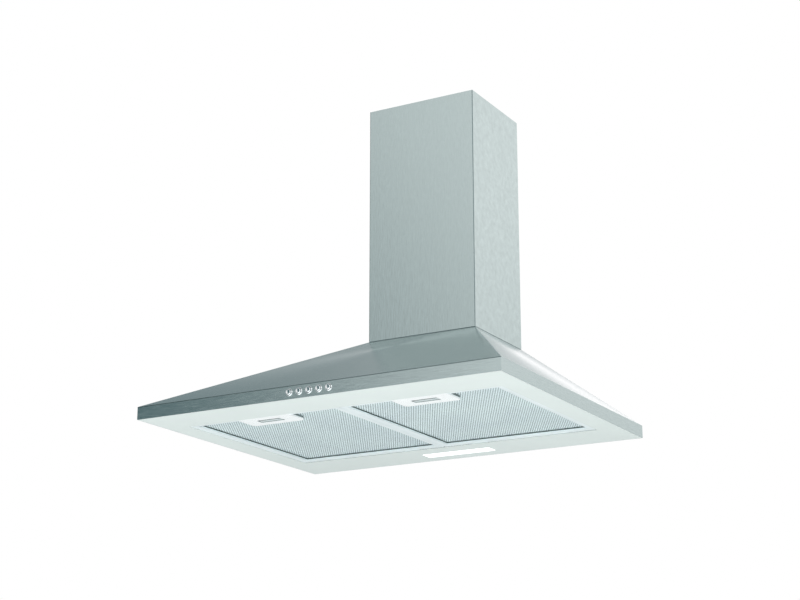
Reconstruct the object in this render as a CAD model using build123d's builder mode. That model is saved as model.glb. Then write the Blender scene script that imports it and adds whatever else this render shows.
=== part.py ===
"""A 600 mm pyramid chimney range hood, as the separate pieces it comes apart into.

The wall is the plane y = 0, the front edge lies at -Y, and the underside is the plane z = 0.
+X is the right hand of someone who stands in front of the hood. All sizes are millimetres.
"""

import os
from math import atan2, cos, degrees, radians, sqrt

from build123d import *

os.makedirs("parts", exist_ok=True)

# ---------------------------------------------------------------- driving dimensions
# Outer sizes, then the canopy: an upright band all round and a pyramid up to the chimney
hood_width = 600
hood_depth = 490
hood_height = 565
band_height = 19.5
pyramid_height = 148
canopy_sheet = 0.8

# Chimney: an outer section that stands on the canopy and an inner one that telescopes out of it
chimney_width = 192
chimney_depth = 165
chimney_sheet = 0.8
chimney_return = 18
chimney_bend = 1.5
upper_chimney_lift = 8
upper_chimney_drop = 3
slide_gap = 0.4

# Bracket that holds the inner chimney section to the wall
bracket_sheet = 2
bracket_height = 30
bracket_reach = 26
bracket_drop = 12
bracket_screw_spacing = 120
bracket_screw_hole = 5.5

# Back panel, a shallow tray against the wall
back_sheet = 0.8
back_flange = 12
wall_screw_spacing = 400
wall_screw_height = 45
wall_screw_hole = 6

# Underside panel with one opening for both filters and a cut-out for the lamp
panel_sheet = 0.8
panel_flange = 4.6
opening_side_margin = 38
opening_front_margin = 77.5
opening_wall_margin = 88.5
opening_lip = 4.1
lamp_length = 120
lamp_width = 26
lamp_corner = 2.5
lamp_wall_distance = 41
lamp_rim = 4

# Clearances
seat_gap = 0.1
run_gap = 0.3
shaft_gap = 0.05

# Grease filters, two aluminium cassettes
filter_gap = 0.8
filter_middle_gap = 1
filter_height = 10
filter_base = 1.6
filter_border = 10
filter_sheet = 0.8
filter_corner = 2
net_recess = 4
net_sheet = 0.6
net_columns = 6
net_rows = 6
net_strand = 3.2
back_net_columns = 3
back_net_rows = 3
pleat_count = 16
pleat_sheet = 0.4
tab_width = 24
tab_spacing = 140
tab_reach = 8
tab_sheet = 1.2

# Filter handle and its sliding latch
handle_width = 90
handle_depth = 45
handle_corner = 6
handle_front_gap = 1.2
handle_base = 0.4
handle_wall = 1.5
finger_slot_width = 42
finger_slot_depth = 15
finger_slot_corner = 3
latch_width = 56
latch_sheet = 1
latch_travel = 6
latch_rib = 1.6
tongue_width = 20
tongue_reach = 4
guide_rib = 2

# Blower: a double-inlet fan in a plastic scroll under the chimney
fan_radius = 52
fan_blade_depth = 9
fan_half_length = 50
fan_height = 104
fan_wall_gap = 2.5
fan_disc = 2
fan_ring = 1.5
fan_ring_width = 4
fan_blade_margin = 1
blade_count = 12
blade_sheet = 0.9
blade_camber = 2
scroll_wall = 2
scroll_start_gap = 8
scroll_growth = 9
scroll_side_gap = 5
tongue_angle = 125
inlet_radius = 44
outlet_rise = 8.5
mount_flange_sheet = 2
mount_flange_reach = 20
mount_flange_depth = 104

# Motor inside the left inlet
motor_radius = 32
motor_length = 58
motor_disc_gap = 14
hub_radius = 8
hub_length = 20
shaft_radius = 3
shaft_in_motor = 40
arm_width = 12
arm_sheet = 2
arm_hub_radius = 22
arm_radius = 55
arm_count = 3
arm_start = 30
isolator_length = 3

# Round duct collar on a flange that caps the throat, with two check-valve flaps
collar_radius = 60
collar_wall = 2
collar_height = 40
collar_flange_sheet = 2.5
collar_flange_rim = 3
collar_skirt = 6
flap_ledge = 4
flap_sheet = 1.5
flap_edge_gap = 0.6
flap_hinge_gap = 4
flap_pin_radius = 1.5
flap_knuckle_radius = 3
flap_knuckle_length = 44
flap_knuckle_gap = 4
flap_pin_bearing = 1

# Lamp behind its lens
lens_sheet = 1.5
lamp_housing_height = 12
lamp_housing_wall = 1.2
led_board_width = 12
led_board_sheet = 1.6
led_count = 8
led_size = 3
led_height = 0.7
driver_length = 60
driver_width = 24
driver_height = 17
driver_offset = 120
driver_chamfer = 2

# Mains terminal box, gland and motor capacitor on the back panel
terminal_offset = 130
terminal_width = 70
terminal_depth = 36
terminal_height = 50
terminal_base = 36
terminal_wall = 2
gland_radius = 8
gland_thread_radius = 6
gland_bore = 4.5
gland_nut_height = 9
gland_thread_length = 5
capacitor_radius = 15
capacitor_length = 56
capacitor_offset = 130
capacitor_height = 60
clip_sheet = 2
clip_width = 16
clip_mouth = 16

# Row of push buttons through the front band
button_count = 5
button_pitch = 16.3
button_height = 10
button_radius = 4.2
button_proud = 2.5
button_travel = 3
button_stem = 5
button_stem_length = 10
bezel_radius = 5.8
bezel_sheet = 1.2
bezel_sides = 20
switch_margin = 10
switch_depth = 24
switch_body_height = 14

# Turns, in degrees
quarter_turn = 90
half_turn = 180

# ---------------------------------------------------------------- derived levels and places
canopy_top = band_height + pyramid_height
chimney_height = hood_height - canopy_top
opening_front = -(hood_depth - opening_front_margin)
opening_rear = -opening_wall_margin
opening_centre = (opening_front + opening_rear) / 2
opening_width = hood_width - 2 * opening_side_margin
opening_depth = opening_rear - opening_front
outlet_height = canopy_top + outlet_rise
collar_centre = -chimney_depth / 2
collar_base = outlet_height + collar_flange_sheet
panel_rear = -(back_sheet + seat_gap)
panel_front = -(hood_depth - canopy_sheet - seat_gap)
panel_width = hood_width - 2 * (canopy_sheet + seat_gap)
back_inset = canopy_sheet + seat_gap

upper_inset = chimney_sheet + slide_gap
upper_base = canopy_top + upper_chimney_lift
upper_top = hood_height - upper_chimney_drop
bracket_rear = -(upper_inset + chimney_sheet)
bracket_width = chimney_width - 2 * (upper_inset + chimney_sheet + seat_gap)
bracket_base = upper_top - bracket_drop - bracket_height

filter_width = (opening_width - 2 * filter_gap - filter_middle_gap) / 2
filter_depth = opening_depth - 2 * filter_gap
filter_offset = (filter_middle_gap + filter_width) / 2
filter_top = filter_base + filter_height
net_base = filter_base + net_recess
back_net_base = filter_top - filter_sheet - net_sheet
window_width = filter_width - 2 * filter_border
window_depth = filter_depth - 2 * filter_border
window_front = opening_centre - window_depth / 2

handle_front = opening_front + filter_gap + handle_front_gap
handle_rear = handle_front + handle_depth
handle_centre = (handle_front + handle_rear) / 2
skirt_front = window_front + seat_gap
latch_base = opening_lip + run_gap

# the scroll's last arc stands half and two whole steps of growth behind its first
scroll_rear_radius = fan_radius + scroll_start_gap + scroll_growth / 2 + 2 * scroll_growth
fan_depth = -(fan_wall_gap + scroll_wall + scroll_rear_radius)
scroll_half_width = fan_half_length + scroll_side_gap + scroll_wall
throat_rear = -fan_wall_gap
throat_reach = (fan_radius + scroll_start_gap) * cos(radians(tongue_angle))
throat_front = fan_depth - scroll_growth / 2 + throat_reach
throat_length = throat_rear - throat_front + scroll_wall
throat_centre = throat_rear - throat_length / 2
motor_inner_end = -motor_disc_gap
motor_outer_end = motor_inner_end - motor_length
post_length = -motor_outer_end + arm_sheet - scroll_half_width - isolator_length
flange_front = collar_centre - collar_radius - collar_flange_rim
flange_rear = throat_rear + seat_gap + collar_wall
flap_axis_height = collar_base + seat_gap + flap_pin_radius
pin_reach = collar_radius - collar_wall + flap_pin_bearing
pin_notch = 2 * (flap_pin_radius + shaft_gap)

lamp_rim_length = lamp_length + 2 * lamp_rim
lamp_rim_width = lamp_width + 2 * lamp_rim
housing_base = panel_sheet + lens_sheet
board_top = housing_base + lamp_housing_height - lamp_housing_wall

gland_axis = -(back_sheet + terminal_depth / 2)
terminal_middle = terminal_base + terminal_height / 2
terminal_top = terminal_base + terminal_height
lid_lip_width = terminal_width - 2 * (terminal_wall + seat_gap)
lid_lip_height = terminal_height - 2 * (terminal_wall + seat_gap)
capacitor_axis = -(back_sheet + clip_sheet + capacitor_radius + seat_gap)
clip_rear = -back_sheet
clip_front = capacitor_axis - capacitor_radius - seat_gap - clip_sheet

button_places = [(i - (button_count - 1) / 2) * button_pitch for i in range(button_count)]
band_inside = -(hood_depth - canopy_sheet)
switch_width = (button_count - 1) * button_pitch + 2 * switch_margin
button_face = -(hood_depth + bezel_sheet + button_proud)
button_back = band_inside + run_gap
stem_end = button_back + button_stem_length


def save(piece, label):
    """Labels a finished piece and writes it to its own file."""
    piece.part.label = label
    export_step(piece.part, f"parts/{label}.step")


# ---------------------------------------------------------------- canopy
def canopy_profile(plane, base_low, base_high, top_low, top_high):
    """The canopy's outline seen from one side: the band below, then the slopes."""
    with BuildSketch(plane) as profile:
        with BuildLine():
            Polyline(
                (base_low, 0),
                (base_low, band_height),
                (top_low, canopy_top),
                (top_high, canopy_top),
                (base_high, band_height),
                (base_high, 0),
                close=True,
            )
        make_face()
    return profile.sketch


half_base = hood_width / 2
half_top = chimney_width / 2
front_profile = canopy_profile(Plane.XZ, -half_base, half_base, -half_top, half_top)
side_profile = canopy_profile(Plane.YZ, -hood_depth, 0, -chimney_depth, 0)
with BuildPart() as canopy_shell:
    extrude(front_profile, amount=hood_depth)
    extrude(side_profile, amount=half_base, both=True, mode=Mode.INTERSECT)
    wall_faces = canopy_shell.faces().filter_by(Plane.XZ).group_by(Axis.Y)[-1]
    underside = canopy_shell.faces().filter_by(Plane.XY).group_by(Axis.Z)[0]
    offset(amount=-canopy_sheet, openings=wall_faces + underside, kind=Kind.INTERSECTION)
    # the top plate is open round the throat of the scroll
    with BuildSketch(Plane.XY.offset(canopy_top)):
        with Locations((0, throat_rear + run_gap)):
            Rectangle(
                2 * (scroll_half_width + run_gap),
                throat_length + 2 * run_gap,
                align=(Align.CENTER, Align.MAX),
            )
    extrude(amount=-2 * canopy_sheet, mode=Mode.SUBTRACT)
    # one hole in the front band for each button
    with BuildSketch(Plane.XZ.offset(hood_depth)):
        with Locations(*[(x, button_height) for x in button_places]):
            Circle(button_radius + run_gap)
    extrude(amount=-2 * canopy_sheet, mode=Mode.SUBTRACT)
save(canopy_shell, "canopy_shell")

with BuildPart() as back_panel:
    with BuildSketch(Plane.XZ):
        with BuildLine():
            Polyline(
                (-hood_width / 2, -back_inset),
                (-hood_width / 2, band_height),
                (-chimney_width / 2, canopy_top),
                (chimney_width / 2, canopy_top),
                (hood_width / 2, band_height),
                (hood_width / 2, -back_inset),
                close=True,
            )
        make_face()
        offset(amount=-back_inset, kind=Kind.INTERSECTION, mode=Mode.REPLACE)
    extrude(amount=back_flange)
    # flanges only at the sides, so that the scroll can pass the top edge
    open_front = back_panel.faces().sort_by(Axis.Y)[0]
    open_ends = back_panel.faces().filter_by(Plane.XY)
    offset(amount=-back_sheet, openings=[open_front, *open_ends], kind=Kind.INTERSECTION)
    # the side flanges stop above the underside panel
    with BuildSketch(Plane.XY):
        with Locations((0, -back_sheet)):
            Rectangle(hood_width, back_flange, align=(Align.CENTER, Align.MAX))
    extrude(amount=panel_flange + seat_gap, mode=Mode.SUBTRACT)
    with BuildSketch(Plane.XZ):
        with Locations((0, wall_screw_height)):
            with GridLocations(wall_screw_spacing, 0, 2, 1):
                Circle(wall_screw_hole / 2)
    extrude(amount=back_sheet, mode=Mode.SUBTRACT)
save(back_panel, "back_panel")

with BuildPart() as bottom_panel:
    with BuildSketch(Plane.XY):
        with Locations((0, panel_rear)):
            Rectangle(panel_width, panel_rear - panel_front, align=(Align.CENTER, Align.MAX))
    extrude(amount=panel_flange)
    open_top = bottom_panel.faces().sort_by(Axis.Z)[-1]
    offset(amount=-panel_sheet, openings=open_top, kind=Kind.INTERSECTION)
    # turned-up lip on both sides and at the front of the filter opening
    with BuildSketch(Plane.XY):
        with Locations((0, opening_rear)):
            Rectangle(
                opening_width + 2 * panel_sheet,
                opening_depth + panel_sheet,
                align=(Align.CENTER, Align.MAX),
            )
    extrude(amount=opening_lip)
    with BuildSketch(Plane.XY):
        with Locations((0, opening_centre)):
            Rectangle(opening_width, opening_depth)
        with Locations((0, -lamp_wall_distance)):
            RectangleRounded(
                lamp_length + 2 * run_gap, lamp_width + 2 * run_gap, lamp_corner + run_gap
            )
    extrude(amount=opening_lip, mode=Mode.SUBTRACT)
    # the front flange is notched for the switch
    with BuildSketch(Plane.XY.offset(panel_sheet)):
        with Locations((0, panel_front)):
            Rectangle(switch_width + 2 * run_gap, 2 * panel_sheet)
    extrude(amount=panel_flange, mode=Mode.SUBTRACT)
save(bottom_panel, "bottom_panel")


# ---------------------------------------------------------------- chimney
def chimney_section(width, depth, rear, base, height):
    """A folded cover, open towards the wall between two returns."""
    with BuildPart() as section:
        with BuildSketch(Plane.XY.offset(base)) as outline:
            with Locations((0, rear)):
                Rectangle(width, depth, align=(Align.CENTER, Align.MAX))
            fillet(outline.vertices(), chimney_bend)
            with Locations((0, rear - chimney_sheet)):
                Rectangle(
                    width - 2 * chimney_sheet,
                    depth - 2 * chimney_sheet,
                    align=(Align.CENTER, Align.MAX),
                    mode=Mode.SUBTRACT,
                )
            with Locations((0, rear)):
                Rectangle(
                    width - 2 * chimney_return, 2 * chimney_sheet, mode=Mode.SUBTRACT
                )
        extrude(amount=height)
    return section


lower_chimney = chimney_section(
    chimney_width, chimney_depth, 0, canopy_top, chimney_height
)
save(lower_chimney, "lower_chimney")

upper_chimney = chimney_section(
    chimney_width - 2 * upper_inset,
    chimney_depth - 2 * upper_inset,
    -upper_inset,
    upper_base,
    upper_top - upper_base,
)
save(upper_chimney, "upper_chimney")

with BuildPart() as chimney_bracket:
    with BuildSketch(Plane.XY.offset(bracket_base)):
        with Locations((0, bracket_rear)):
            Rectangle(bracket_width, bracket_reach, align=(Align.CENTER, Align.MAX))
        with Locations((0, bracket_rear - bracket_sheet)):
            Rectangle(
                bracket_width - 2 * bracket_sheet,
                bracket_reach,
                align=(Align.CENTER, Align.MAX),
                mode=Mode.SUBTRACT,
            )
    extrude(amount=bracket_height)
    with BuildSketch(Plane.XZ.offset(-bracket_rear)):
        with Locations((0, bracket_base + bracket_height / 2)):
            with GridLocations(bracket_screw_spacing, 0, 2, 1):
                Circle(bracket_screw_hole / 2)
    extrude(amount=bracket_sheet, mode=Mode.SUBTRACT)
save(chimney_bracket, "chimney_bracket")


# ---------------------------------------------------------------- blower
def scroll_outline(grow):
    """The scroll's section in the YZ plane, with its walls grown outwards: three quarter
    arcs about the corners of a small square, each larger by the side of the square, then
    the straight throat up to the outlet."""
    half = scroll_growth / 2
    start = fan_radius + scroll_start_gap + grow
    throat = throat_front - grow
    centre_a = (fan_depth - half, fan_height - half)
    centre_b = (fan_depth + half, fan_height - half)
    centre_c = (fan_depth + half, fan_height + half)
    tongue_rise = sqrt(start**2 - (throat - centre_a[0]) ** 2)
    with BuildSketch(Plane.YZ) as section:
        with BuildLine():
            tongue_end = degrees_from(centre_a, throat, centre_a[1] + tongue_rise)
            CenterArc(centre_a, start, tongue_end, half_turn - tongue_end)
            CenterArc(centre_b, start + scroll_growth, half_turn, quarter_turn)
            CenterArc(centre_c, start + 2 * scroll_growth, -quarter_turn, quarter_turn)
            rear = centre_c[0] + start + 2 * scroll_growth
            Polyline(
                (rear, centre_c[1]),
                (rear, outlet_height),
                (throat, outlet_height),
                (throat, centre_a[1] + tongue_rise),
            )
        make_face()
    return section.sketch


def degrees_from(centre, x, y):
    """The direction of a point seen from a centre, in degrees."""
    return degrees(atan2(y - centre[1], x - centre[0]))


def scroll_half(side):
    """Half of the scroll on one side of its middle plane, with its inlet and flange."""
    with BuildPart() as half:
        extrude(scroll_outline(scroll_wall), amount=side * scroll_half_width)
        extrude(
            scroll_outline(0),
            amount=side * (scroll_half_width - scroll_wall),
            mode=Mode.SUBTRACT,
        )
        inlet_plane = Plane(
            (side * scroll_half_width, fan_depth, fan_height), x_dir=(0, 1, 0), z_dir=(-side, 0, 0)
        )
        with BuildSketch(inlet_plane):
            Circle(inlet_radius)
        extrude(amount=scroll_wall, mode=Mode.SUBTRACT)
        flange_top = canopy_top - canopy_sheet
        with BuildSketch(Plane.XY.offset(flange_top)):
            with Locations((side * (scroll_half_width + mount_flange_reach / 2), fan_depth)):
                Rectangle(mount_flange_reach, mount_flange_depth)
        extrude(amount=-mount_flange_sheet)
    return half


save(scroll_half(-1), "scroll_left")
save(scroll_half(1), "scroll_right")

with BuildPart() as impeller:
    fan_plane = Plane((0, fan_depth, fan_height), x_dir=(0, 1, 0), z_dir=(1, 0, 0))
    blade_root = fan_radius - fan_blade_depth
    with BuildSketch(fan_plane.offset(fan_blade_margin - fan_half_length)):
        with BuildLine():
            bend = (blade_root + fan_radius) / 2
            Polyline(
                (blade_root, 0),
                (bend, blade_camber),
                (fan_radius, 0),
                (fan_radius, blade_sheet),
                (bend, blade_camber + blade_sheet),
                (blade_root, blade_sheet),
                close=True,
            )
        blade = make_face(mode=Mode.PRIVATE)
        with PolarLocations(0, blade_count):
            add(blade)
    extrude(amount=2 * (fan_half_length - fan_blade_margin))
    # a disc in the middle and a hoop round the tips at each end tie the blades together,
    # both with a flat for each blade and one between
    with BuildSketch(fan_plane.offset(-fan_disc / 2)):
        RegularPolygon(fan_radius + fan_ring, 2 * blade_count)
    extrude(amount=fan_disc)
    for end in (-fan_half_length, fan_half_length - fan_ring_width):
        with BuildSketch(fan_plane.offset(end)):
            RegularPolygon(fan_radius + fan_ring, 2 * blade_count)
            RegularPolygon(fan_radius - blade_sheet, 2 * blade_count, mode=Mode.SUBTRACT)
        extrude(amount=fan_ring_width)
    with BuildSketch(fan_plane.offset(-hub_length / 2)):
        Circle(hub_radius)
    extrude(amount=hub_length)
    with BuildSketch(fan_plane.offset(-hub_length / 2)):
        Circle(shaft_radius + shaft_gap)
    extrude(amount=hub_length, mode=Mode.SUBTRACT)
save(impeller, "impeller")

with BuildPart() as motor_shaft:
    with BuildSketch(fan_plane.offset(motor_inner_end - shaft_in_motor)):
        Circle(shaft_radius)
    extrude(amount=shaft_in_motor + motor_disc_gap + hub_length / 2)
save(motor_shaft, "motor_shaft")

with BuildPart() as motor:
    with BuildSketch(fan_plane.offset(motor_outer_end)):
        Circle(motor_radius)
    extrude(amount=motor_length)
    with BuildSketch(fan_plane.offset(motor_inner_end - shaft_in_motor)):
        Circle(shaft_radius + shaft_gap)
    extrude(amount=shaft_in_motor, mode=Mode.SUBTRACT)
save(motor, "motor")

arm_places = PolarLocations(arm_radius, arm_count, start_angle=arm_start)
with BuildPart() as motor_bracket:
    with BuildSketch(fan_plane.offset(motor_outer_end - arm_sheet)):
        with PolarLocations(0, arm_count, start_angle=arm_start):
            with Locations(((arm_radius + arm_width / 2) / 2, 0)):
                Rectangle(arm_radius + arm_width / 2, arm_width)
        RegularPolygon(arm_hub_radius, 2 * arm_count, rotation=arm_start)
    extrude(amount=arm_sheet)
    with BuildSketch(fan_plane.offset(motor_outer_end - arm_sheet)):
        with arm_places:
            Rectangle(arm_width, arm_width)
    extrude(amount=post_length)
save(motor_bracket, "motor_bracket")

with BuildPart() as motor_isolators:
    with BuildSketch(fan_plane.offset(-scroll_half_width - isolator_length)):
        with arm_places:
            Rectangle(arm_width, arm_width)
    extrude(amount=isolator_length)
save(motor_isolators, "motor_isolators")

# ---------------------------------------------------------------- duct collar and check valve
with BuildPart() as duct_adapter:
    with BuildSketch(Plane.XY.offset(outlet_height)):
        with Locations((0, flange_rear)):
            Rectangle(
                2 * (collar_radius + collar_flange_rim),
                flange_rear - flange_front,
                align=(Align.CENTER, Align.MAX),
            )
    extrude(amount=collar_flange_sheet)
    # a skirt fits over the throat of the scroll
    with BuildSketch(Plane.XY.offset(outlet_height)):
        with Locations((0, throat_centre)):
            Rectangle(
                2 * (scroll_half_width + seat_gap + collar_wall),
                throat_length + 2 * (seat_gap + collar_wall),
            )
            Rectangle(
                2 * (scroll_half_width + seat_gap),
                throat_length + 2 * seat_gap,
                mode=Mode.SUBTRACT,
            )
    extrude(amount=-collar_skirt)
    with BuildSketch(Plane.XY.offset(collar_base)):
        with Locations((0, collar_centre)):
            Circle(collar_radius)
    extrude(amount=collar_height)
    with BuildSketch(Plane.XY.offset(collar_base)):
        with Locations((0, collar_centre)):
            Circle(collar_radius - collar_wall)
    extrude(amount=collar_height, mode=Mode.SUBTRACT)
    # the closed flaps lie on the rim of a smaller hole in the flange
    with BuildSketch(Plane.XY.offset(outlet_height)):
        with Locations((0, collar_centre)):
            Circle(collar_radius - collar_wall - flap_ledge)
    extrude(amount=collar_flange_sheet, mode=Mode.SUBTRACT)
    # a notch in the wall holds each end of the flaps' pin
    with BuildSketch(Plane.YZ):
        with Locations((collar_centre, flap_axis_height)):
            Rectangle(pin_notch, pin_notch)
    extrude(amount=pin_reach + shaft_gap, both=True, mode=Mode.SUBTRACT)
save(duct_adapter, "duct_adapter")

with BuildPart() as damper_pin:
    with BuildSketch(Plane.YZ):
        with Locations((collar_centre, flap_axis_height)):
            Circle(flap_pin_radius)
    extrude(amount=pin_reach, both=True)
save(damper_pin, "damper_pin")


def damper_flap(side):
    """Half a disc that swings up on the pin. side is -1 for the front flap, 1 for the rear.
    The two share the pin: the front one's knuckle is left of the middle, the rear one's right."""
    flap_radius = collar_radius - collar_wall - flap_edge_gap
    middle = side * (flap_knuckle_gap + flap_knuckle_length) / 2
    flap_base = Plane((0, collar_centre, collar_base + run_gap))
    knuckle_end = Plane.YZ.offset(middle - flap_knuckle_length / 2)
    with BuildPart() as flap:
        with BuildSketch(flap_base):
            Circle(flap_radius)
            with Locations((0, -side * (collar_radius - flap_hinge_gap))):
                Rectangle(2 * collar_radius, 2 * collar_radius, mode=Mode.SUBTRACT)
            with Locations((middle, side * flap_hinge_gap / 2)):
                Rectangle(flap_knuckle_length, flap_hinge_gap + 2 * seat_gap)
        extrude(amount=flap_sheet)
        with BuildSketch(knuckle_end):
            with Locations((collar_centre, flap_axis_height)):
                Circle(flap_knuckle_radius)
        extrude(amount=flap_knuckle_length)
        with BuildSketch(knuckle_end):
            with Locations((collar_centre, flap_axis_height)):
                Circle(flap_pin_radius + shaft_gap)
        extrude(amount=flap_knuckle_length, mode=Mode.SUBTRACT)
    return flap


save(damper_flap(-1), "damper_flap_front")
save(damper_flap(1), "damper_flap_rear")


# ---------------------------------------------------------------- grease filters
def filter_plane(side, level):
    """A horizontal plane with its origin over the middle of one cassette."""
    return Plane((side * filter_offset, opening_centre, level))


def net_sheet_at(side, level, columns, rows):
    """A flat expanded net: staggered diamond gaps between equal strands."""
    pitch_x = window_width / columns
    pitch_y = window_depth / rows
    half_x = pitch_x / 2 - net_strand / 2
    half_y = pitch_y / 2 - net_strand / 2
    rim = 2 * (filter_sheet + seat_gap)
    with BuildPart() as net:
        with BuildSketch(filter_plane(side, level)):
            Rectangle(filter_width - rim, filter_depth - rim)
            with BuildSketch(mode=Mode.PRIVATE) as diamond:
                Polygon((half_x, 0), (0, half_y), (-half_x, 0), (0, -half_y))
            with GridLocations(pitch_x, pitch_y, columns, rows):
                add(diamond.sketch, mode=Mode.SUBTRACT)
            with GridLocations(pitch_x, pitch_y, columns - 1, rows - 1):
                add(diamond.sketch, mode=Mode.SUBTRACT)
        extrude(amount=net_sheet)
    return net


def filter_frame(side):
    """Folded aluminium channel round the nets, with two tabs behind and a slot in front."""
    with BuildPart() as frame:
        with BuildSketch(filter_plane(side, filter_base)):
            RectangleRounded(filter_width, filter_depth, filter_corner)
            Rectangle(window_width, window_depth, mode=Mode.SUBTRACT)
        extrude(amount=filter_height)
        with BuildSketch(filter_plane(side, net_base)):
            Rectangle(filter_width - 2 * filter_sheet, filter_depth - 2 * filter_sheet)
        extrude(amount=filter_height - net_recess - filter_sheet, mode=Mode.SUBTRACT)
        with BuildSketch(filter_plane(side, filter_base + filter_sheet)):
            Rectangle(filter_width - 2 * filter_sheet, filter_depth - 2 * filter_sheet)
            Rectangle(
                window_width + 2 * filter_sheet,
                window_depth + 2 * filter_sheet,
                mode=Mode.SUBTRACT,
            )
        extrude(amount=net_recess - filter_sheet, mode=Mode.SUBTRACT)
        # tabs that rest on the underside panel behind the opening
        tab_length = filter_gap + tab_reach + filter_sheet
        with BuildSketch(filter_plane(side, panel_sheet + run_gap)):
            with Locations((0, opening_depth / 2 + tab_reach - tab_length / 2)):
                with GridLocations(tab_spacing, 0, 2, 1):
                    Rectangle(tab_width, tab_length)
        extrude(amount=tab_sheet)
        # slot for the tongue of the latch, through the wall and the inner riser
        with BuildSketch(filter_plane(side, latch_base - run_gap)):
            with Locations((0, -filter_depth / 2)):
                Rectangle(
                    tongue_width + 2 * run_gap,
                    filter_border + run_gap,
                    align=(Align.CENTER, Align.MIN),
                )
        extrude(amount=net_base - latch_base + run_gap, mode=Mode.SUBTRACT)
    return frame


def pleated_core(side):
    """The middle layer, a sheet folded into pleats from wall to wall."""
    low = net_base + net_sheet
    rise = back_net_base - low - pleat_sheet - seat_gap
    span = filter_width - 2 * (filter_sheet + seat_gap)
    step = span / (2 * pleat_count)
    ridge = [
        (-span / 2 + i * step, seat_gap / 2 + (rise if i % 2 else 0))
        for i in range(2 * pleat_count + 1)
    ]
    lifted = [(x, z + pleat_sheet) for x, z in reversed(ridge)]
    depth = filter_depth - 2 * (filter_sheet + seat_gap)
    front = Plane(
        (side * filter_offset, opening_centre - depth / 2, low),
        x_dir=(1, 0, 0),
        z_dir=(0, -1, 0),
    )
    with BuildPart() as core:
        with BuildSketch(front):
            with BuildLine():
                Polyline(*ridge, *lifted, close=True)
            make_face()
        extrude(amount=-depth)
    return core


def filter_handle(side):
    """Moulded plate over the front border, with a finger slot and guides for the latch."""
    skirt_depth = handle_rear - skirt_front
    skirt_centre = (skirt_front + handle_rear) / 2
    with BuildPart() as handle:
        with BuildSketch(Plane((side * filter_offset, handle_centre, handle_base))):
            RectangleRounded(handle_width, handle_depth, handle_corner)
        extrude(amount=filter_base - handle_base)
        with BuildSketch(Plane((side * filter_offset, skirt_centre, filter_base))):
            with BuildSketch(mode=Mode.PRIVATE) as skirt:
                Rectangle(handle_width, skirt_depth)
                fillet(skirt.vertices().group_by(Axis.Y)[-1], handle_corner)
                Rectangle(
                    handle_width - 2 * handle_wall,
                    skirt_depth - 2 * handle_wall,
                    mode=Mode.SUBTRACT,
                )
            add(skirt.sketch)
            with Locations((0, -skirt_depth / 2)):
                Rectangle(tongue_width + 2 * run_gap, 2 * handle_wall + run_gap, mode=Mode.SUBTRACT)
        extrude(amount=net_base - filter_base)
        with BuildSketch(Plane((side * filter_offset, skirt_centre, filter_base))):
            with GridLocations(latch_width - 2 * guide_rib, 0, 2, 1):
                Rectangle(guide_rib, skirt_depth - 2 * handle_wall)
        extrude(amount=latch_base - run_gap - filter_base)
        with BuildSketch(Plane((side * filter_offset, handle_centre, handle_base))):
            RectangleRounded(finger_slot_width, finger_slot_depth, finger_slot_corner)
        extrude(amount=filter_base - handle_base, mode=Mode.SUBTRACT)
    return handle


def filter_latch(side):
    """Slider above the handle: a finger rib in the slot and a tongue over the front lip."""
    slot_front = handle_centre - finger_slot_depth / 2
    slider_front = skirt_front + handle_wall + run_gap
    slider_rear = handle_rear - handle_wall - latch_travel - 2 * run_gap
    tongue_front = opening_front + filter_gap - tongue_reach
    with BuildPart() as latch:
        with BuildSketch(Plane((side * filter_offset, 0, latch_base))):
            with Locations((0, slider_front)):
                Rectangle(
                    latch_width, slider_rear - slider_front, align=(Align.CENTER, Align.MIN)
                )
            with Locations((0, tongue_front)):
                Rectangle(
                    tongue_width, slider_rear - tongue_front, align=(Align.CENTER, Align.MIN)
                )
        extrude(amount=latch_sheet)
        with BuildSketch(Plane((side * filter_offset, 0, latch_base))):
            with Locations((0, slot_front + run_gap)):
                Rectangle(
                    finger_slot_width - 2 * finger_slot_corner,
                    latch_rib,
                    align=(Align.CENTER, Align.MIN),
                )
        extrude(amount=-(latch_base - filter_base))
    return latch


for side, hand in ((-1, "left"), (1, "right")):
    save(filter_frame(side), f"{hand}_filter_frame")
    save(net_sheet_at(side, net_base, net_columns, net_rows), f"{hand}_filter_net")
    save(pleated_core(side), f"{hand}_filter_core")
    save(
        net_sheet_at(side, back_net_base, back_net_columns, back_net_rows),
        f"{hand}_filter_back_net",
    )
    save(filter_handle(side), f"{hand}_filter_handle")
    save(filter_latch(side), f"{hand}_filter_latch")

# ---------------------------------------------------------------- lamp
lamp_plane = Plane((0, -lamp_wall_distance, 0))
with BuildPart() as lamp_lens:
    with BuildSketch(lamp_plane):
        RectangleRounded(lamp_length, lamp_width, lamp_corner)
    extrude(amount=panel_sheet)
    with BuildSketch(lamp_plane.offset(panel_sheet)):
        Rectangle(lamp_rim_length, lamp_rim_width)
    extrude(amount=lens_sheet)
save(lamp_lens, "lamp_lens")

with BuildPart() as lamp_housing:
    with BuildSketch(lamp_plane.offset(housing_base)):
        Rectangle(lamp_rim_length, lamp_rim_width)
    extrude(amount=lamp_housing_height)
    open_side = lamp_housing.faces().sort_by(Axis.Z)[0]
    offset(amount=-lamp_housing_wall, openings=open_side, kind=Kind.INTERSECTION)
save(lamp_housing, "lamp_housing")

with BuildPart() as led_board:
    board_plane = lamp_plane.offset(board_top - led_board_sheet)
    with BuildSketch(board_plane):
        Rectangle(lamp_length, led_board_width)
    extrude(amount=led_board_sheet)
    with BuildSketch(board_plane):
        with GridLocations(lamp_length / led_count, 0, led_count, 1):
            Rectangle(led_size, led_size)
    extrude(amount=-led_height)
save(led_board, "led_board")

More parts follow.
